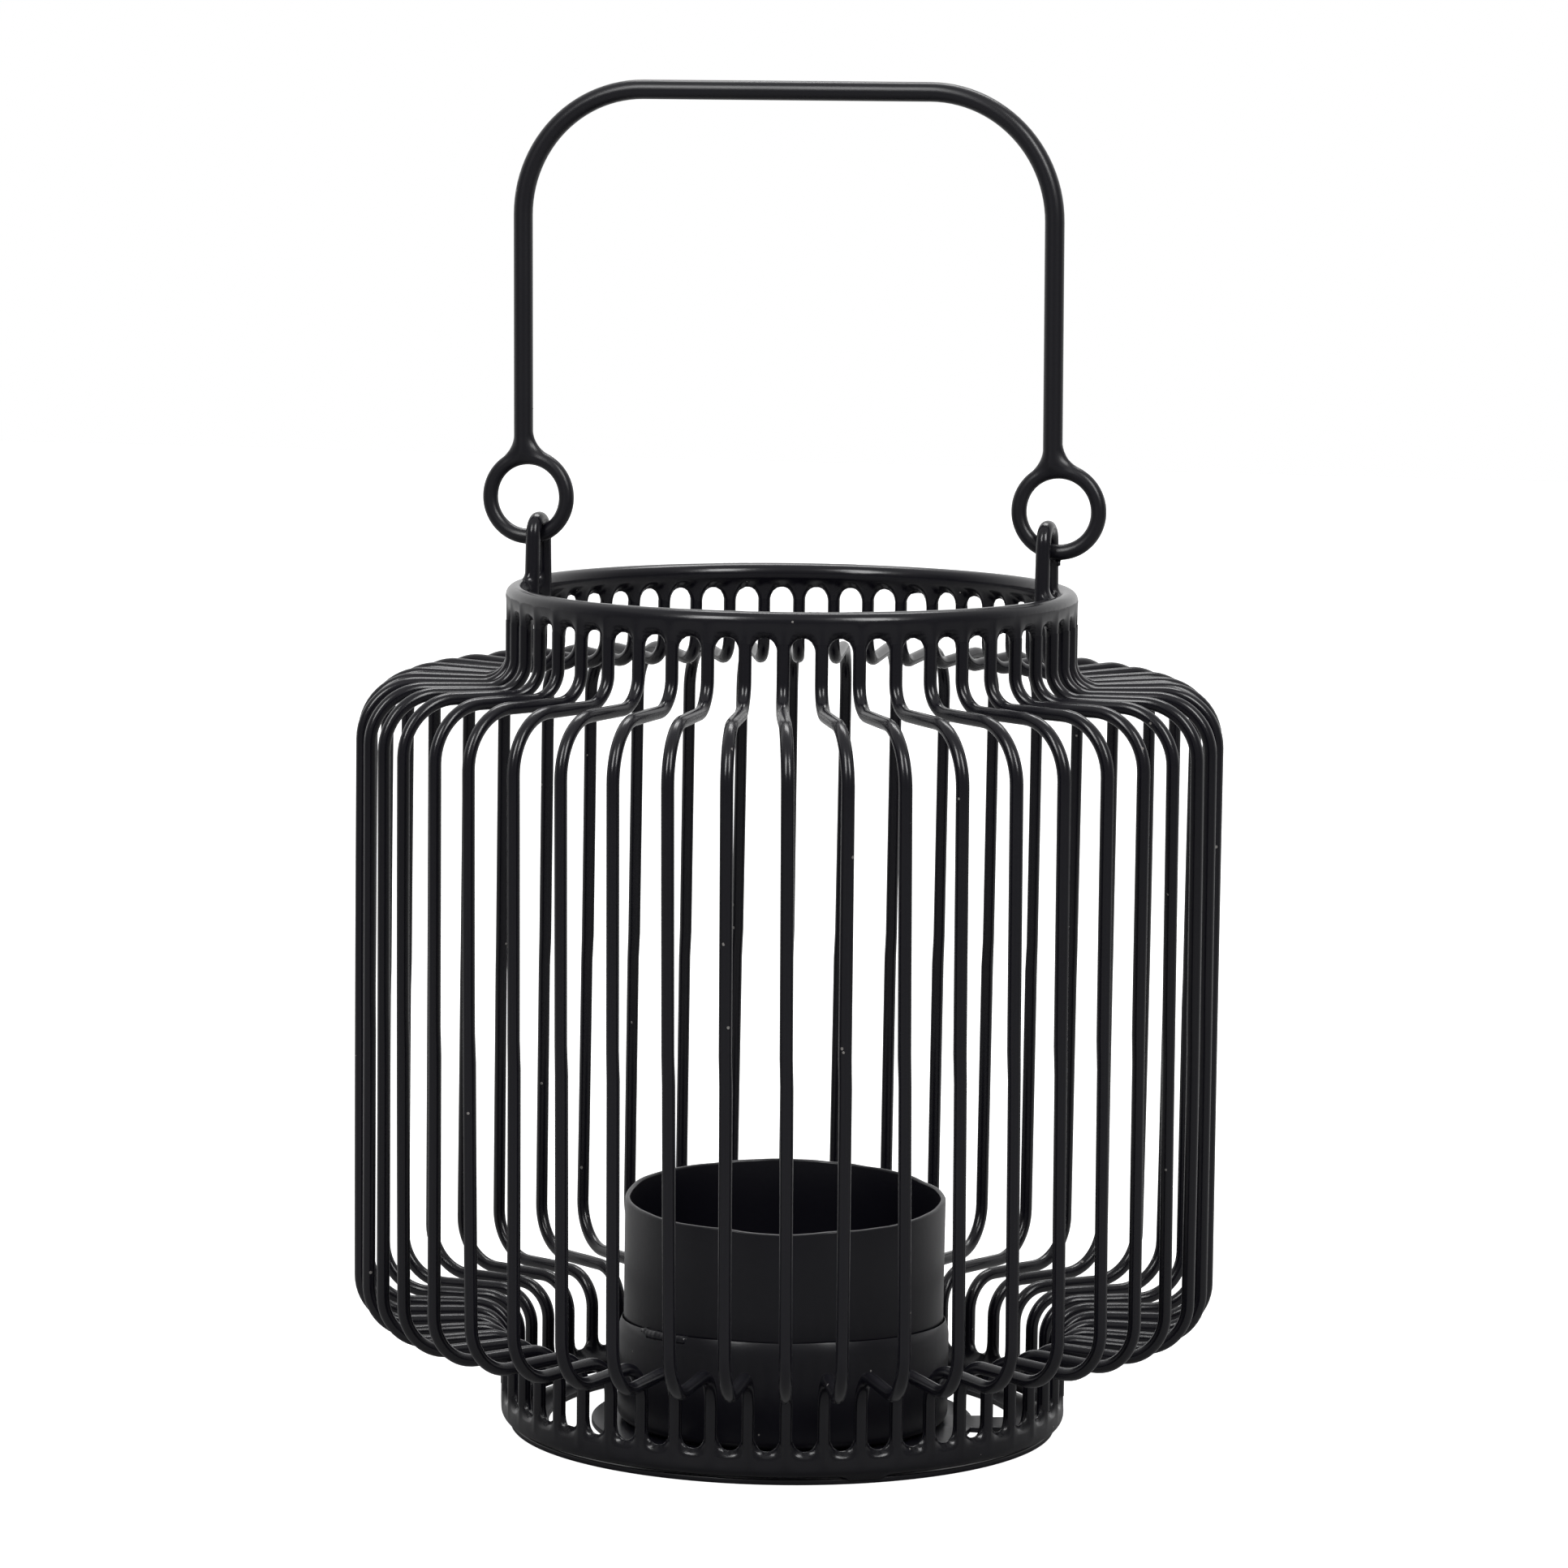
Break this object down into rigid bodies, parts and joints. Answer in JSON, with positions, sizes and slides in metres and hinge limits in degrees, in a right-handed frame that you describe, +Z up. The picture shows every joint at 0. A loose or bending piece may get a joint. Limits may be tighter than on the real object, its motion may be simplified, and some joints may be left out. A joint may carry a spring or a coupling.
{
  "type": "candle lantern",
  "caption": "Black wire lantern: a cage of formed wires between two rings, a base plate with a candle cup inside, and a swinging wire handle.",
  "frame": {"origin": "middle of the underside of the base plate, on the surface that the lantern stands on", "axes": "+Z up, +X along the handle from its left leg to its right leg, +Y away from a viewer who faces the handle"},
  "size_m": [0.1502, 0.1502, 0.2341],
  "materials": {
    "wire": "satin black powder coat on steel wire, thick in the weld corners",
    "sheet": "satin black powder coat on thin steel sheet"
  },
  "bodies": {
    "lantern_body": {"base_ring": "wire", "base_plate": "sheet", "cup_pan": "sheet", "cup_sleeve": "sheet", "rib_01": "wire", "rib_02": "wire", "rib_03": "wire", "rib_04": "wire", "rib_05": "wire", "rib_06": "wire", "rib_07": "wire", "rib_08": "wire", "rib_09": "wire", "rib_10": "wire", "rib_11": "wire", "rib_12": "wire", "rib_13": "wire", "rib_14": "wire", "rib_15": "wire", "rib_16": "wire", "rib_17": "wire", "rib_18": "wire", "rib_19": "wire", "rib_20": "wire", "rib_21": "wire", "rib_22": "wire", "rib_23": "wire", "rib_24": "wire", "rib_25": "wire", "rib_26": "wire", "rib_27": "wire", "rib_28": "wire", "rib_29": "wire", "rib_30": "wire", "rib_31": "wire", "rib_32": "wire", "rib_33": "wire", "rib_34": "wire", "rib_35": "wire", "rib_36": "wire", "rib_37": "wire", "rib_38": "wire", "rib_39": "wire", "rib_40": "wire", "rib_41": "wire", "rib_42": "wire", "rib_43": "wire", "rib_44": "wire", "rib_45": "wire", "rib_46": "wire", "rib_47": "wire", "rib_48": "wire", "top_ring": "wire", "lug_left": "wire", "lug_right": "wire"},
    "handle": {"handle_bail": "wire", "handle_eye_left": "wire", "handle_eye_right": "wire"}
  },
  "joints": [
    {"name": "handle_swing", "type": "hinge", "parent": "lantern_body", "child": "handle", "pos_m": [0, 0, 0.1548], "axis": [1, 0, 0], "range_deg": [-104, 104]}
  ]
}
